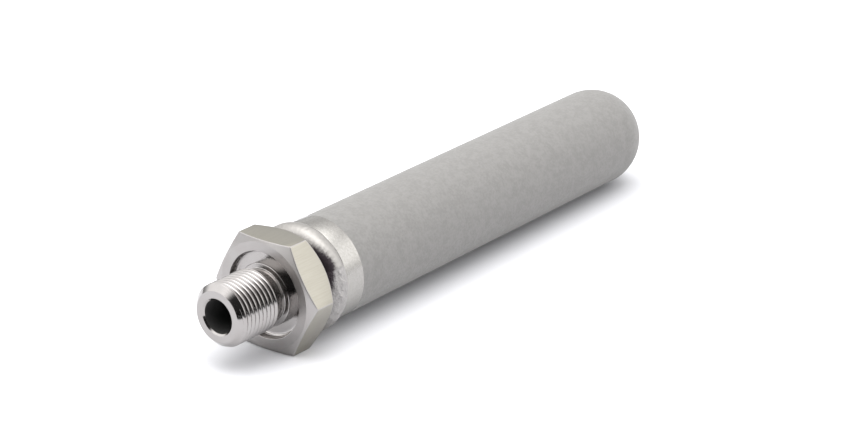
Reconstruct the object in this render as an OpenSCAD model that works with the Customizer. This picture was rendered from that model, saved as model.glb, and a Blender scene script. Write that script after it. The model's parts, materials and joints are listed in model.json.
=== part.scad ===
// Sintered filter element: a hollow porous metal tube with a domed end, closed at its
// open end by a solid collar and welded there to a threaded hexagon fitting.
// It lies on a level surface, thread towards -X and dome towards +X, on its hexagon and dome.

/* [Thread stud] */
// Diameter over the thread crests
thread_d = 11.9; // [10:0.1:14]
// Length of the stud, from its end face to the front of the hexagon
stud_len = 12.1; // [8:0.1:25]
// Chamfer on the free end of the stud
end_chamfer = 1.1; // [0.3:0.05:1.6]
// Diameter of the passage through the fitting
bore_d = 6.4; // [3:0.1:7.8]
// Chamfer at the mouth of the passage
mouth_chamfer = 0.3; // [0.1:0.05:0.9]
// Depth of the undercut where the thread runs out
relief_depth = 0.9; // [0.3:0.05:1.2]
// Width of the undercut, its sloping wall included
relief_w = 2.6; // [1.2:0.05:3]
// Lean of the undercut's wall on the hexagon side, in degrees
relief_lean = 15; // [0:1:40]
// Plain shoulder between the undercut and the recess floor
shoulder_len = 1.3; // [0.6:0.1:3]

/* [Hexagon] */
// Width over the flats
hex_af = 21; // [18:0.5:27]
// Thickness between the turned faces
hex_len = 6.65; // [4:0.05:12]
// How far inside the flats the turned faces stop
edge_turn = 0.45; // [0.1:0.05:1.2]
// Slope of the corner chamfer on the thread side, in degrees
front_slope = 20; // [5:1:40]
// Slope of the corner chamfer on the tube side, in degrees
back_slope = 40; // [5:1:50]
// Diameter of the round recess in the front face
recess_d = 16.5; // [14.5:0.1:18.5]
// Depth of the round recess
recess_depth = 1.5; // [0.4:0.1:3]
// Fillet at the outer corner of the recess
recess_fillet = 0.8; // [0.1:0.05:1.5]

/* [Neck and weld] */
// Diameter of the neck behind the hexagon
neck_d = 17.6; // [15.5:0.1:19.5]
// Bare length of the neck, from the hexagon to the weld
neck_len = 1.25; // [0.5:0.05:6]
// Width of the weld along the tube
weld_w = 3.85; // [2.5:0.05:6]
// Height of the weld's crown over the line between its two toes
weld_crown = 1; // [0.2:0.05:1.3]
// Flat land at the weld's root, where neck and collar butt together
root_land = 0.6; // [0.2:0.05:1.2]

/* [Collar] */
// Length of the solid collar outside the weld
collar_len = 4.45; // [2:0.05:15]
// How far the collar stands proud of the porous tube
collar_step = 0.1; // [0:0.05:0.5]

/* [Porous tube] */
// Outer diameter of the porous tube
tube_d = 19.2; // [17:0.1:21]
// Length of the porous tube, its domed end included
tube_len = 92.2; // [30:0.1:250]
// Thickness of the porous wall
wall = 2.5; // [1.5:0.1:4]

/* [Hidden] */
$fn = 96;

// Radii
thread_r = thread_d / 2;
relief_r = thread_r - relief_depth;
end_face_r = thread_r - end_chamfer;
bore_r = bore_d / 2;
hex_r = hex_af / 2;
corner_r = hex_r / cos(30);
turned_r = hex_r - edge_turn;
recess_r = recess_d / 2;
fillet_r = min(recess_fillet, recess_depth, recess_r - thread_r);
neck_r = neck_d / 2;
tube_r = tube_d / 2;
collar_r = tube_r + collar_step;
cavity_r = tube_r - wall;
root_r = cavity_r + root_land;

// Stations along the axis, counted from the free end of the stud
hex_z = stud_len;
recess_z = hex_z + recess_depth;
relief_end_z = recess_z - shoulder_len;
hex_back_z = hex_z + hex_len;
weld_z = hex_back_z + neck_len;
root_z = weld_z + weld_w / 2;
weld_end_z = weld_z + weld_w;
collar_end_z = weld_end_z + collar_len;
tip_z = collar_end_z + tube_len;
dome_z = tip_z - tube_r;

// Circle of the weld's crown, through both toes of the weld
toe_near = [neck_r, weld_z];
toe_far = [collar_r, weld_end_z];
toe_span = toe_far - toe_near;
toe_gap = norm(toe_span);
crown_r = (pow(toe_gap / 2, 2) + pow(weld_crown, 2)) / (2 * weld_crown);
crown_out = [toe_span.y, -toe_span.x] / toe_gap;
crown_centre = (toe_near + toe_far) / 2 - (crown_r - weld_crown) * crown_out;

// Tilt of the axis at rest: the dome and the deepest of flat, weld and collar touch the surface
function tilt_over(z, r) =
    let (run = dome_z - z)
    atan2(r, run) - asin(tube_r / norm([run, r]));
flat_end_z = hex_back_z - edge_turn * tan(back_slope);
rest_tilt = max(
    0,
    tilt_over(flat_end_z, hex_r),
    tilt_over(crown_centre.y, crown_centre.x + crown_r),
    tilt_over(weld_end_z, collar_r)
);
rest_height = tube_r + dome_z * sin(rest_tilt);
rest_length = dome_z * cos(rest_tilt) + tube_r;
rest_shift = (rest_length - end_face_r * sin(rest_tilt)) / 2;

// Lays a piece that is turned about Z down on the surface, centred over the origin
module lay_down() {
    translate([-rest_shift, 0, rest_height])
        rotate([0, 90 + rest_tilt, 0])
            children();
}

// Turned stud with its end chamfer, thread undercut and shoulder down to the recess floor
module stud() {
    rotate_extrude()
        polygon([
            [0, 0],
            [end_face_r, 0],
            [thread_r, end_chamfer],
            [thread_r, relief_end_z - relief_w],
            [relief_r, relief_end_z - relief_w],
            [relief_r, relief_end_z - relief_depth * tan(relief_lean)],
            [thread_r, relief_end_z],
            [thread_r, recess_z],
            [0, recess_z]
        ]);
}

// Hexagon with a flat underneath, its corners turned back to a cone on both faces
module hexagon() {
    intersection() {
        translate([0, 0, hex_z])
            rotate([0, 0, 30])
                cylinder(r = corner_r, h = hex_len, $fn = 6);
        rotate_extrude()
            polygon([
                [0, hex_z],
                [turned_r, hex_z],
                [corner_r, hex_z + (corner_r - turned_r) * tan(front_slope)],
                [corner_r, hex_back_z - (corner_r - turned_r) * tan(back_slope)],
                [turned_r, hex_back_z],
                [0, hex_back_z]
            ]);
    }
}

// Neck from the recess floor through the hexagon, bevelled towards the root of the weld
module neck() {
    rotate_extrude()
        polygon([
            [0, recess_z],
            [neck_r, recess_z],
            [neck_r, weld_z],
            [root_r, root_z],
            [0, root_z]
        ]);
}

// Round recess around the stud in the front of the hexagon, with a fillet in its outer corner
module recess() {
    corner = [recess_r - fillet_r, recess_z - fillet_r];
    rotate_extrude()
        difference() {
            translate([thread_r, hex_z - recess_depth])
                square([recess_r - thread_r, 2 * recess_depth]);
            difference() {
                translate(corner)
                    square(2 * fillet_r);
                translate(corner)
                    circle(r = fillet_r);
            }
        }
}

// Flow passage right through the fitting, chamfered at its mouth
module passage() {
    mouth_r = bore_r + mouth_chamfer;
    translate([0, 0, -mouth_chamfer])
        cylinder(r = bore_r, h = root_z + 2 * mouth_chamfer);
    translate([0, 0, -mouth_chamfer])
        cylinder(r1 = mouth_r + mouth_chamfer, r2 = bore_r, h = 2 * mouth_chamfer);
}

module threaded_fitting() {
    color("lightgray")
        lay_down()
            difference() {
                union() {
                    stud();
                    difference() {
                        hexagon();
                        recess();
                    }
                    neck();
                }
                passage();
            }
}

// Filler metal in the groove between neck and collar, with a rounded crown
module weld_bead() {
    color("silver")
        lay_down()
            rotate_extrude() {
                polygon([[root_r, root_z], toe_near, toe_far]);
                intersection() {
                    translate(crown_centre)
                        circle(r = crown_r);
                    polygon([
                        toe_near,
                        toe_far,
                        toe_far + 2 * weld_crown * crown_out,
                        toe_near + 2 * weld_crown * crown_out
                    ]);
                }
            }
}

// Solid ring on the open end of the tube, bevelled towards the root of the weld
module end_collar() {
    color("gainsboro")
        lay_down()
            rotate_extrude()
                polygon([
                    [cavity_r, root_z],
                    [root_r, root_z],
                    [collar_r, weld_end_z],
                    [collar_r, collar_end_z],
                    [cavity_r, collar_end_z]
                ]);
}

// Half outline of a round bar with a domed end, from the collar outwards
module domed_half(r) {
    translate([0, collar_end_z])
        square([r, dome_z - collar_end_z]);
    intersection() {
        translate([0, dome_z])
            circle(r = r);
        translate([0, dome_z])
            square(r);
    }
}

// Porous wall, open at the collar and closed by its dome
module porous_tube() {
    color("darkgray")
        lay_down()
            rotate_extrude()
                difference() {
                    domed_half(tube_r);
                    domed_half(cavity_r);
                }
}

threaded_fitting();
weld_bead();
end_collar();
porous_tube();
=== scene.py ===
import json
from math import atan2, cos, exp, hypot, pi, radians, sin, tan

import bmesh
import bpy
from mathutils import Matrix, Vector, noise


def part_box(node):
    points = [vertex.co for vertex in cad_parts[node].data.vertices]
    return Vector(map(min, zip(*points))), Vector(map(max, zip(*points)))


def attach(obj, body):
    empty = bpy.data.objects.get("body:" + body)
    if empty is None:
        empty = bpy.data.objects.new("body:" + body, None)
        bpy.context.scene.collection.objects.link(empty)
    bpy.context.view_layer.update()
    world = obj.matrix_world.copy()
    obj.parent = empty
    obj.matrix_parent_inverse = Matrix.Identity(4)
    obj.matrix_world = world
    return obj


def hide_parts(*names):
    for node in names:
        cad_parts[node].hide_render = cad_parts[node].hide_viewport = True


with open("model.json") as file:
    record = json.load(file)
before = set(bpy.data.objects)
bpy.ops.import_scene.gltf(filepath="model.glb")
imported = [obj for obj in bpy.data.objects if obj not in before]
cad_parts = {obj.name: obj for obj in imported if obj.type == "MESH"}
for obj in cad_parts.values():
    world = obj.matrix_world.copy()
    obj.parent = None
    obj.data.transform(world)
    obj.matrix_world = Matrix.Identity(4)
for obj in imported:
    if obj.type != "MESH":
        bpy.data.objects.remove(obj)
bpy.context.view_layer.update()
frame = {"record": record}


# Threaded fitting: bored stud, hexagon and neck in one piece, turned from hexagon bar of
# stainless steel. The fine thread runs out in an undercut, and a round recess in the front
# of the hexagon takes a sealing ring. Sizes are in millimetres, stations from the stud's end.
MM = 0.001
# Places closer together than this count as the same
NEAR = 0.01

mounts = {mount["name"]: mount for mount in frame["record"]["mounts"]}
thread_r = mounts["thread"]["dims"]["r_mm"]
thread_len = mounts["thread"]["dims"]["length_mm"]
bore_r = mounts["flow_bore"]["dims"]["r_mm"]
corner_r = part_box("threaded_fitting")[1].y / MM
hex_r = corner_r * cos(pi / 6)
end_chamfer = 1.1
mouth_chamfer = 0.3
undercut_depth = 0.9
undercut_width = 2.6
undercut_lean = tan(radians(15))
undercut_r = thread_r - undercut_depth
undercut_z = end_chamfer + thread_len
undercut_end_z = undercut_z + undercut_width
hex_z = 12.1
hex_len = 6.65
hex_back_z = hex_z + hex_len
recess_r = 8.25
recess_depth = 1.5
recess_fillet = 0.8
recess_z = hex_z + recess_depth
edge_turn = 0.45
turned_r = hex_r - edge_turn
front_slope = tan(radians(20))
back_slope = tan(radians(40))
neck_r = 8.8
neck_len = 1.25
weld_width = 3.85
weld_z = hex_back_z + neck_len
weld_end_z = weld_z + weld_width
root_z = (weld_z + weld_end_z) / 2
root_r = 7.7

# The element's own frame: X up, Y to the right of the stud, Z from the stud to the dome
thread_axis = Vector(mounts["thread"]["axis"])
stud_end = Vector(mounts["thread"]["pos_m"]) + thread_axis * (undercut_z - thread_len / 2) * MM
sideways = Vector((0, -1, 0))
turned_axes = Matrix((sideways.cross(-thread_axis), sideways, -thread_axis)).transposed()
lay_down = Matrix.Translation(stud_end) @ turned_axes.to_4x4() @ Matrix.Scale(MM, 4)


def draw_outline(points):
    """A closed outline through points of (radius, station), ready to be turned."""
    work = bmesh.new()
    corners = [work.verts.new((radius, 0, station)) for radius, station in points]
    for start, stop in zip(corners, corners[1:] + corners[:1]):
        work.edges.new((start, stop))
    return work


def break_corners(work, size, wanted):
    """Rounds the outline's corners that wanted(radius, station) picks."""
    corners = [v for v in work.verts if wanted(v.co.x, v.co.z)]
    bmesh.ops.bevel(work, geom=corners, offset=size, segments=2, profile=0.5,
                    affect="VERTICES", material=-1)


def add_rows(work, start_z, stop_z, spacing):
    """Divides the outline's long edges between two stations into rows."""
    for edge in work.edges[:]:
        low, high = sorted(v.co.z for v in edge.verts)
        outside = min(v.co.x for v in edge.verts) > bore_r + mouth_chamfer
        if outside and start_z <= low + NEAR and high <= stop_z + NEAR and high - low > spacing:
            bmesh.ops.subdivide_edges(work, edges=[edge], cuts=round((high - low) / spacing))


def turn(work, steps):
    """Turns the outline once round the axis into a closed skin."""
    bmesh.ops.spin(work, geom=work.verts[:] + work.edges[:], cent=(0, 0, 0), axis=(0, 0, 1),
                   dvec=(0, 0, 0), angle=2 * pi, steps=steps, use_merge=True)
    bmesh.ops.remove_doubles(work, verts=work.verts[:], dist=0.0005)
    bmesh.ops.recalc_face_normals(work, faces=work.faces[:])
    for face in work.faces:
        face.smooth = True


def quarter(radius, centre_r, centre_z, steps):
    """Quarter of a circle, from its point farthest along the axis to its widest point."""
    angles = [pi / 2 * step / steps for step in range(steps + 1)]
    return [(centre_r + radius * sin(angle), centre_z + radius * cos(angle)) for angle in angles]


# Turned outline, a little wider than the corners; the flats are cut from it below
blank_spare = 0.3
blank_r = corner_r + blank_spare
fitting = draw_outline([
    (bore_r, root_z),
    (bore_r, mouth_chamfer),
    (bore_r + mouth_chamfer, 0),
    (thread_r - end_chamfer, 0),
    (thread_r, end_chamfer),
    (thread_r, undercut_z),
    (undercut_r, undercut_z),
    (undercut_r, undercut_end_z - undercut_depth * undercut_lean),
    (thread_r, undercut_end_z),
    (thread_r, recess_z),
    *quarter(recess_fillet, recess_r - recess_fillet, recess_z - recess_fillet, steps=8),
    (recess_r, hex_z),
    (turned_r, hex_z),
    (blank_r, hex_z + (blank_r - turned_r) * front_slope),
    (blank_r, hex_back_z - (blank_r - turned_r) * back_slope),
    (turned_r, hex_back_z),
    (neck_r, hex_back_z),
    (neck_r, weld_z),
    (root_r, root_z),
])

# Edges broken at the rim of the recess, on the end of the stud and in the undercut. Beyond
# outside_r, a point on the stud lies on its outside and not in the passage.
rim_break = 0.1
undercut_break = 0.12
outside_r = bore_r + 1
break_corners(fitting, rim_break, lambda r, z: abs(z - hex_z) < NEAR and r < recess_r + NEAR)
break_corners(fitting, rim_break, lambda r, z: z == 0 and r > outside_r)
break_corners(fitting, undercut_break, lambda r, z: r <= thread_r and undercut_z + 0.1 < z < recess_z)
thread_row = 0.04
add_rows(fitting, start_z=0, stop_z=undercut_z, spacing=thread_row)
turn(fitting, steps=160)

# Right-hand thread: a groove wound into the stud, which the end chamfer cuts away
thread_pitch = 1.0
thread_depth = 0.45
for vert in fitting.verts:
    radius = hypot(vert.co.x, vert.co.y)
    if vert.co.z < undercut_z + NEAR and radius > outside_r:
        turns = vert.co.z / thread_pitch - atan2(vert.co.y, vert.co.x) / (2 * pi)
        wound_r = thread_r - thread_depth * (1 - abs(cos(pi * turns)))
        if wound_r < radius:
            vert.co.xy *= wound_r / radius

# Six flats of the bar, left where the turned corners end
for side in range(6):
    outward = Vector((cos(side * pi / 3), sin(side * pi / 3), 0))
    skin = fitting.verts[:] + fitting.edges[:] + fitting.faces[:]
    cut = bmesh.ops.bisect_plane(fitting, geom=skin, dist=0.0001, plane_co=outward * hex_r,
                                 plane_no=outward, clear_outer=True)
    rim = [part for part in cut["geom_cut"] if isinstance(part, bmesh.types.BMEdge)]
    bmesh.ops.edgeloop_fill(fitting, edges=rim)
bmesh.ops.recalc_face_normals(fitting, faces=fitting.faces[:])


def is_flat(face):
    """True for one of the hexagon's six flats."""
    radial = Vector((face.normal.x, face.normal.y, 0))
    return radial.length > 0.999 and abs(face.calc_center_median() @ radial - hex_r) < NEAR


edge_break = 0.12
flat_edges = {edge for face in fitting.faces if is_flat(face) for edge in face.edges}
bmesh.ops.bevel(fitting, geom=list(flat_edges), offset=edge_break, segments=2, profile=0.5,
                affect="EDGES", material=-1, clamp_overlap=True)
DRAWN, SHADED_BORE, SHADED_NECK = 1, 2, 3
for face in fitting.faces:
    middle = face.calc_center_median()
    if is_flat(face):
        face.material_index = DRAWN
        face.smooth = False
    # The passage's wall gets painted shade: a near-black finish for the dark deep in the bore.
    elif hypot(middle.x, middle.y) < bore_r + NEAR:
        face.material_index = SHADED_BORE
    # The neck beyond the hexagon gets painted shade: a near-black finish for the narrow gap under the
    # weld.
    elif middle.z > hex_back_z + NEAR:
        face.material_index = SHADED_NECK


class Wire:
    """An output in a material's nodes; sums and products on it add Math nodes."""

    def __init__(self, tree, socket):
        self.tree = tree
        self.socket = socket

    def node(self, kind, settings, sockets, output=0):
        """Adds a node, sets it up, feeds its sockets and gives one of its outputs."""
        made = self.tree.nodes.new("ShaderNode" + kind)
        for name, value in settings.items():
            setattr(made, name, value)
        for name, value in sockets.items():
            if isinstance(value, Wire):
                self.tree.links.new(value.socket, made.inputs[name])
            else:
                made.inputs[name].default_value = value
        return Wire(self.tree, made.outputs[output]) if made.outputs else None

    def maths(self, operation, first, second):
        return self.node("Math", {"operation": operation}, {0: first, 1: second})

    def __add__(self, other):
        return self.maths("ADD", self, other)

    def __sub__(self, other):
        return self.maths("SUBTRACT", self, other)

    def __mul__(self, other):
        return self.maths("MULTIPLY", self, other)

    def __rsub__(self, other):
        return self.maths("SUBTRACT", other, self)

    __radd__ = __add__
    __rmul__ = __mul__

    def stretch(self, x, y, z):
        """This vector with its three parts scaled."""
        return self.node("VectorMath", {"operation": "MULTIPLY"}, {0: self, 1: (x, y, z)})

    def toward(self, direction):
        """How far this vector points along a direction."""
        return self.node("VectorMath", {"operation": "DOT_PRODUCT"}, {0: self, 1: direction}, 1)

    def grain(self, scale, detail=2.0):
        """Noise from 0 to 1 at this place."""
        return self.node("TexNoise", {}, {"Vector": self, "Scale": scale, "Detail": detail})

    def ramp(self, start, stop, low=0.0, high=1.0):
        """Eases from low at start to high at stop, and stays level beyond them."""
        ends = {1: start, 2: stop, 3: low, 4: high}
        return self.node("MapRange", {"interpolation_type": "SMOOTHSTEP"}, {0: self, **ends})

    def blend(self, first, second):
        """A colour between two, by this share."""
        return self.node("Mix", {"data_type": "RGBA"}, {0: self, 6: first, 7: second}, 2)

    def relief(self, depth, strength=1.0):
        """A shading normal from this height, which spans depth millimetres."""
        return self.node("Bump", {}, {"Height": self, "Distance": depth * MM, "Strength": strength})

    def surface(self, sockets):
        """Closes the material with a metal shader."""
        shader = self.node("BsdfPrincipled", {}, sockets)
        shader.node("OutputMaterial", {}, {"Surface": shader})


def new_finish(name):
    """A new material, and the place on the element in millimetres to pattern it by."""
    material = bpy.data.materials.new(name)
    material.use_nodes = True
    material.node_tree.nodes.clear()
    coordinates = material.node_tree.nodes.new("ShaderNodeTexCoord").outputs["Object"]
    place = Wire(material.node_tree, coordinates)
    axes = {"Location": stud_end, "Rotation": turned_axes.to_euler(), "Scale": (MM, MM, MM)}
    return material, place.node("Mapping", {"vector_type": "TEXTURE"}, {"Vector": place, **axes})


def around(place):
    """Radius and station of a place, as a vector that is the same all round the axis."""
    radius = place.node("VectorMath", {"operation": "LENGTH"}, {0: place.stretch(1, 1, 0)}, 1)
    station = place.toward((0, 0, 1))
    return place.node("CombineXYZ", {}, {"X": radius, "Y": station})


def turned_finish():
    """Bright steel with the fine rings that a turning tool leaves."""
    material, place = new_finish("turned_steel")
    rings = around(place).grain(9.0, 3.0)
    handling = place.grain(0.35, 3.0)
    threaded = place.toward((0, 0, 1)).ramp(end_chamfer, end_chamfer + 0.3)
    faced = around(place).toward((1, 0, 0)).ramp(recess_r, recess_r + 0.1)
    place.surface({
        "Base Color": handling.ramp(0.3, 0.7).blend((0.365, 0.347, 0.338, 1), (0.38, 0.366, 0.358, 1)),
        "Metallic": 1.0,
        "Roughness": rings * 0.10 + threaded * 0.03 + faced * 0.17 + 0.08,
        "Normal": rings.relief(0.006),
    })
    return material


def drawn_finish():
    """The bar's own drawn flats, with fine lines along the element."""
    material, place = new_finish("drawn_steel")
    lines = place.stretch(1, 1, 0.04).grain(4.5, 4.0)
    place.surface({
        "Base Color": lines.ramp(0.3, 0.7).blend((0.333, 0.315, 0.27, 1), (0.365, 0.346, 0.30, 1)),
        "Metallic": 1.0,
        "Roughness": lines * 0.16 + 0.24,
        "Normal": lines.relief(0.012),
    })
    return material


def shaded_bore_finish():
    """Wall of the drilled passage, painted near-black: painted shade deep in the bore."""
    material, place = new_finish("drilled_steel")
    rings = around(place).grain(5.0, 2.0)
    place.surface({
        # Painted shade: near-black colour for the dark deep inside the bore
        "Base Color": rings.blend((0.04, 0.04, 0.039, 1), (0.056, 0.055, 0.054, 1)),
        "Roughness": 0.6,
        "Specular IOR Level": 0.15,
        "Normal": rings.relief(0.02),
    })
    return material


def shaded_neck_finish():
    """Neck next to the weld, painted near-black: painted shade in the narrow gap between hexagon and
    weld.
    """
    material, place = new_finish("tinted_steel")
    shade_patches = place.grain(1.4, 3.0)
    place.surface({
        # Painted shade: near-black colour, in patches, for the shade in the gap between hexagon and
        # weld
        "Base Color": shade_patches.ramp(0.3, 0.7).blend((0.05, 0.042, 0.048, 1), (0.13, 0.11, 0.122, 1)),
        "Metallic": 1.0,
        "Roughness": 0.35,
    })
    return material


def place_piece(name, work, node, finishes):
    """Lays a finished piece down where its solid is, and lets it stand for that solid."""
    work.transform(lay_down)
    mesh = bpy.data.meshes.new(name)
    work.to_mesh(mesh)
    work.free()
    mesh.set_sharp_from_angle(angle=radians(18))
    for finish in finishes:
        mesh.materials.append(finish)
    piece = bpy.data.objects.new(name, mesh)
    bpy.context.scene.collection.objects.link(piece)
    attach(piece, "root")
    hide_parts(node)


place_piece("fitting", fitting, "threaded_fitting",
            [turned_finish(), drawn_finish(), shaded_bore_finish(), shaded_neck_finish()])


# End collar: a solid stainless ring on the open end of the porous tube, bevelled on the side
# of the weld. It is turned smooth, a hair proud of the tube.
collar_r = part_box("end_collar")[1].y / MM
collar_len = 4.45
collar_end_z = weld_end_z + collar_len
cavity_r = 7.1
collar = draw_outline([
    (cavity_r, root_z),
    (root_r, root_z),
    (collar_r, weld_end_z),
    (collar_r, collar_end_z),
    (cavity_r, collar_end_z),
])
collar_break = 0.06
break_corners(collar, collar_break, lambda r, z: r > root_r)
turn(collar, steps=192)


def collar_finish():
    """Satin steel with faint turning lines and a fine grain."""
    material, place = new_finish("collar_steel")
    rings = around(place).grain(6.0, 3.0)
    grain = place.grain(2.6, 3.0)
    height = rings * 0.5 + grain * 0.5
    place.surface({
        "Base Color": grain.ramp(0.3, 0.7).blend((0.343, 0.332, 0.313, 1), (0.381, 0.37, 0.352, 1)),
        "Metallic": 1.0,
        "Roughness": rings * 0.08 + 0.15,
        "Normal": height.relief(0.015),
    })
    return material


place_piece("collar", collar, "end_collar", [collar_finish()])


# Porous tube: stainless powder pressed and sintered into a hollow tube with a domed end.
# Its wall lets the fluid through, and its skin is matte with a fine, even grain.
tube_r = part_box("porous_tube")[1].y / MM
tube_len = 92.2
dome_z = collar_end_z + tube_len - tube_r
tube = draw_outline([
    *quarter(tube_r, centre_r=0, centre_z=dome_z, steps=18),
    (tube_r, collar_end_z),
    (cavity_r, collar_end_z),
    *reversed(quarter(cavity_r, centre_r=0, centre_z=dome_z, steps=18)),
])
turn(tube, steps=192)


def sintered_finish():
    """Matte grey powder metal, finely grained and softly mottled."""
    material, place = new_finish("sintered_steel")
    powder = place.grain(2.1, 3.0)
    mottle = place.grain(0.7, 3.0)
    shade = powder * 0.55 + mottle * 0.45
    place.surface({
        "Base Color": shade.ramp(0.36, 0.64).blend((0.229, 0.223, 0.215, 1), (0.263, 0.257, 0.248, 1)),
        "Metallic": 0.4,
        "Roughness": 0.78,
        "Sheen Weight": 0.12,
        "Normal": powder.relief(0.06, 0.7),
    })
    return material


place_piece("filter_tube", tube, "porous_tube", [sintered_finish()])


# Weld: a ring of weld metal run round the groove between neck and collar, with ripples on its
# crown. The run stops bluntly, with a pit beside it, on its own dull and lumpy start. Near the
# stop, its side towards the neck is painted dark: painted shade in the gap below the hexagon.
weld_crown = 1.0
toe_near = Vector((neck_r, weld_z))
toe_far = Vector((collar_r, weld_end_z))
toe_span = toe_far - toe_near
crown_r = (toe_span.length_squared / 4 + weld_crown ** 2) / (2 * weld_crown)
crown_out = Vector((toe_span.y, -toe_span.x)).normalized()
crown_centre = (toe_near + toe_far) / 2 - crown_out * (crown_r - weld_crown)


def crown(steps):
    """Arc of the weld's crown from the toe on the neck to the toe on the collar."""
    start, stop = toe_near - crown_centre, toe_far - crown_centre
    first, last = atan2(start.y, start.x), atan2(stop.y, stop.x)
    angles = [first + (last - first) * step / steps for step in range(steps + 1)]
    return [crown_centre + crown_r * Vector((cos(angle), sin(angle))) for angle in angles]


weld = draw_outline([(root_r, root_z), *crown(steps=60)])
turn(weld, steps=480)


def step_up(value, start, stop):
    """Eases from 0 at start to 1 at stop."""
    share = min(1, max(0, (value - start) / (stop - start)))
    return share * share * (3 - 2 * share)


def hump(value, middle, spread):
    """A smooth hump of height 1 at its middle."""
    return exp(-((value - middle) / spread) ** 2)


# Places round the axis, from the top towards the right of the stud, and heights on the crown
stop_angle = radians(65)
stop_edge = (stop_angle - 0.01, stop_angle + 0.04)
pit_angle = stop_angle + 0.14
# Middle of the painted shade on the weld's side by the neck
gap_shade_angle = radians(59)
dull_end = radians(150)
dull_fade = (dull_end - 0.5, dull_end)
ripples = 58
ripple_height = 0.012
swell_height = 0.10
lump_height = 0.24
highest_rise = 0.12
start_depth = 0.22
pit_depth = 0.25
toe_depth = 0.25
toe_start = (0.3, 0.6)
toe_stop = (stop_angle, stop_angle - 0.03)
for vert in weld.verts:
    radius = hypot(vert.co.x, vert.co.y)
    angle = atan2(vert.co.y, vert.co.x)
    share = (vert.co.z - weld_z) / (weld_end_z - weld_z)
    out = Vector((radius, vert.co.z)) - crown_centre
    if out.length > crown_r - NEAR:
        lift = max(0, sin(pi * share))
        first_run = step_up(angle, *stop_edge) * (1 - step_up(angle, *dull_fade))
        swell = swell_height * noise.noise(Vector((cos(angle), sin(angle), share)) * 2.3)
        ripple = ripple_height * sin(ripples * angle - 3 * (2 * share - 1) ** 2)
        lumps = lump_height * (noise.noise(vert.co * 0.9) + noise.noise(vert.co * 2.3) / 2)
        pit = pit_depth * hump(angle, pit_angle, spread=0.07) * hump(share, middle=0.35, spread=0.13)
        raised = lift * (swell + ripple + first_run * (lumps - start_depth - pit))
        toe = toe_depth * hump(share, middle=0.96, spread=0.035)
        toe *= step_up(angle, *toe_start) * step_up(angle, *toe_stop)
        moved = crown_centre + out * (1 + (min(raised, highest_rise) - toe) / crown_r)
        vert.co.xy *= moved.x / radius
        vert.co.z = moved.y


def weld_finish():
    """Weld metal: satin on the last run, dull where the run began, with painted shade next to the
    neck.
    """
    material, place = new_finish("weld_steel")
    skin = place.grain(1.6, 4.0)
    crust = place.grain(3.2, 4.0)
    angle = place.maths("ARCTAN2", place.toward((0, 1, 0)), place.toward((1, 0, 0)))
    dull = angle.ramp(*stop_edge) * angle.ramp(*dull_fade, 1.0, 0.0)
    # Painted shade: next to the neck, on both sides of the run's stop, the weld turns near-black for
    # the shade in the gap below the hexagon
    from_gap_shade = place.maths("ABSOLUTE", angle - gap_shade_angle, 0.0)
    edge = place.toward((0, 0, 1)) + skin * 0.5 + crust * 0.9 + from_gap_shade * 2.6
    gap_shade = edge.ramp(weld_z + 1.7, weld_z + 2.6, 1.0, 0.0)
    height = skin + dull * crust * 3
    satin = skin.ramp(0.3, 0.7).blend((0.355, 0.341, 0.325, 1), (0.39, 0.376, 0.359, 1))
    metal = dull.blend(satin, (0.42, 0.406, 0.399, 1))
    place.surface({
        # Painted shade darkens the weld next to the neck
        "Base Color": gap_shade.blend(metal, (0.06, 0.05, 0.056, 1)),
        "Metallic": 1.0,
        "Roughness": skin * 0.15 + dull * 0.1 + 0.43,
        "Normal": height.relief(0.10, 0.8),
    })
    return material


place_piece("weld", weld, "weld_bead", [weld_finish()])


# Studio: a pale table top under a light tent that is open towards the camera. The tent's
# dark opening and a black card on the table give the bright metal its dark reflections.
def compass(azimuth, elevation):
    """Unit vector of a direction in degrees, azimuth from +X towards +Y."""
    level = cos(radians(elevation))
    flat = (cos(radians(azimuth)) * level, sin(radians(azimuth)) * level)
    return Vector((*flat, sin(radians(elevation))))


camera_azimuth = -140.708
camera_elevation = 22.712

world = bpy.data.worlds.new("light_tent")
bpy.context.scene.world = world
world.use_nodes = True
world.node_tree.nodes.clear()
sky = Wire(world.node_tree, world.node_tree.nodes.new("ShaderNodeTexCoord").outputs["Generated"])


def patch(azimuth, elevation, inner, outer):
    """Round patch of the tent: 1 within the inner angle of a direction, 0 past the outer one."""
    facing = sky.toward(compass(azimuth, elevation))
    return facing.ramp(cos(radians(outer)), cos(radians(inner)))


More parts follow.
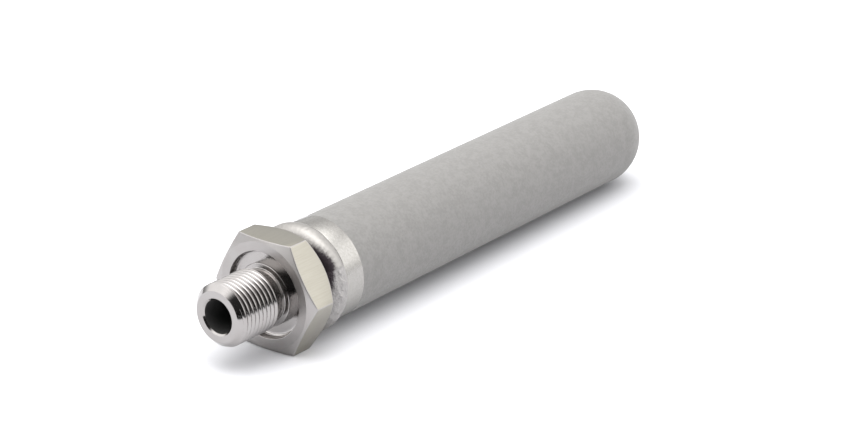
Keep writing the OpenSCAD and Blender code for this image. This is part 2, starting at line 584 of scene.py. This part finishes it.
tent_light = 1.26
opening = 1 - 0.97 * patch(-151, 15, 29, 45)
backdrop = 1 - 0.25 * patch(40, 14, 16, 30)
horizon = sky.toward((0, 0, 1)).ramp(0, 0.35, 0.3, 1.0)
right_wall = 0.95 * patch(-44, 17, 18, 42)
left_wall = 0.75 * patch(126, 38, 20, 45)
back_glow = 0.3 * patch(48, 0, 6, 24)
low_fill = 0.7 * patch(170, 14, 8, 34)
roof = 3.0 * patch(0, 88, 8, 44)
walls = right_wall + left_wall + back_glow + low_fill
light = opening * backdrop * horizon * tent_light + walls + roof
tent = sky.node("Background", {}, {"Color": (1, 1, 1, 1), "Strength": light})
tent.node("OutputWorld", {}, {"Surface": tent})


def lay_sheet(name, half_size, matrix, colour):
    """A flat matte sheet of the studio, which isn't part of the element."""
    work = bmesh.new()
    bmesh.ops.create_grid(work, x_segments=1, y_segments=1, size=half_size, matrix=matrix)
    mesh = bpy.data.meshes.new(name)
    work.to_mesh(mesh)
    work.free()
    material, place = new_finish(name)
    place.surface({"Base Color": colour, "Roughness": 0.9, "Specular IOR Level": 0.0})
    mesh.materials.append(material)
    sheet = bpy.data.objects.new(name, mesh)
    bpy.context.scene.collection.objects.link(sheet)
    return sheet


table_size = 3.0
lay_sheet("table_top", table_size, Matrix.Identity(4), (0.738, 0.74, 0.762, 1))

# The card lies before the stud, towards the camera, and shows in reflections only
card_size = 1.0
card_gap = 0.070
card_lift = 0.0002
card_middle = stud_end + compass(camera_azimuth, 0) * (card_gap + card_size)
card_middle.z = card_lift
card_turn = Matrix.Rotation(radians(camera_azimuth), 4, "Z")
card_place = Matrix.Translation(card_middle) @ card_turn
card = lay_sheet("black_card", card_size, card_place, (0.02, 0.02, 0.02, 1))
card.visible_camera = False
card.visible_diffuse = False
card.visible_shadow = False

# Camera at the photograph's place, with its slight roll
camera_target = Vector((-0.001703, 0, 0.008694))
camera_distance = 0.5636
camera_roll = -1.232
camera_data = bpy.data.cameras.new("camera")
camera_data.lens = 125.9
camera_data.sensor_width = 36
camera = bpy.data.objects.new("camera", camera_data)
bpy.context.scene.collection.objects.link(camera)
backward = compass(camera_azimuth, camera_elevation)
camera.location = camera_target + backward * camera_distance
aim = backward.to_track_quat("Z", "Y")
camera.rotation_mode = "QUATERNION"
camera.rotation_quaternion = aim @ Matrix.Rotation(radians(camera_roll), 3, "Z").to_quaternion()
bpy.context.scene.camera = camera
bpy.context.scene.view_settings.view_transform = "Standard"
